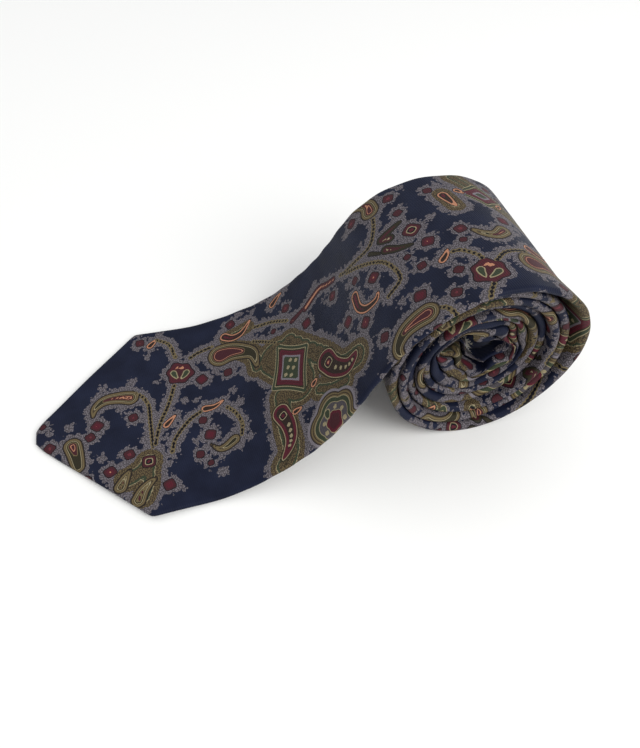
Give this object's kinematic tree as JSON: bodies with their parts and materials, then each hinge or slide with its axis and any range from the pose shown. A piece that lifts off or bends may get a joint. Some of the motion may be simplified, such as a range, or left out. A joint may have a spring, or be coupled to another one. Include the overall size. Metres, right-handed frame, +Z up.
{
  "type": "necktie",
  "caption": "Paisley silk four-in-hand necktie, rolled up from its narrow end with the wide pointed end lying free in front of the roll.",
  "frame": {"origin": "middle of the base of the whole object, on the surface that it lies on", "axes": "+X along the free end from its point to the roll, +Y along the roll, +Z up"},
  "size_m": [0.202, 0.09, 0.0721],
  "materials": {
    "printed_silk": "navy silk twill printed with paisleys in olive, burgundy and grey, soft sheen",
    "wool_interlining": "cream brushed wool felt",
    "tipping_satin": "plain navy lining satin",
    "label_satin": "blank woven satin label",
    "care_tape": "blank white satin tape",
    "navy_thread": "twisted silk sewing thread",
    "gold_thread": "twisted gold-coloured sewing thread"
  },
  "bodies": {
    "roll": {"blade_silk_rolled": "printed_silk", "interlining_rolled": "wool_interlining", "neck_silk": "printed_silk", "tail_silk": "printed_silk", "blade_neck_seam": "printed_silk", "neck_tail_seam": "printed_silk", "slip_stitch_rolled": "navy_thread", "tail_tipping": "tipping_satin", "tail_tipping_stitches": "navy_thread", "tail_bar_tack": "navy_thread", "care_label": "care_tape"},
    "free_end": {"blade_silk_free": "printed_silk", "interlining_free": "wool_interlining", "blade_tipping": "tipping_satin", "blade_tipping_stitches": "navy_thread", "blade_bar_tack": "navy_thread", "slip_stitch_free": "navy_thread", "slip_stitch_end_loop": "navy_thread", "keeper_loop": "printed_silk", "keeper_loop_tacks": "navy_thread", "blank_label": "label_satin", "label_tacks": "gold_thread"}
  },
  "joints": [
    {"name": "blade_lift", "type": "hinge", "parent": "roll", "child": "free_end", "pos_m": [0.06512, 0, 0.07209], "axis": [0, 1, 0], "range_deg": [0, 40]}
  ]
}
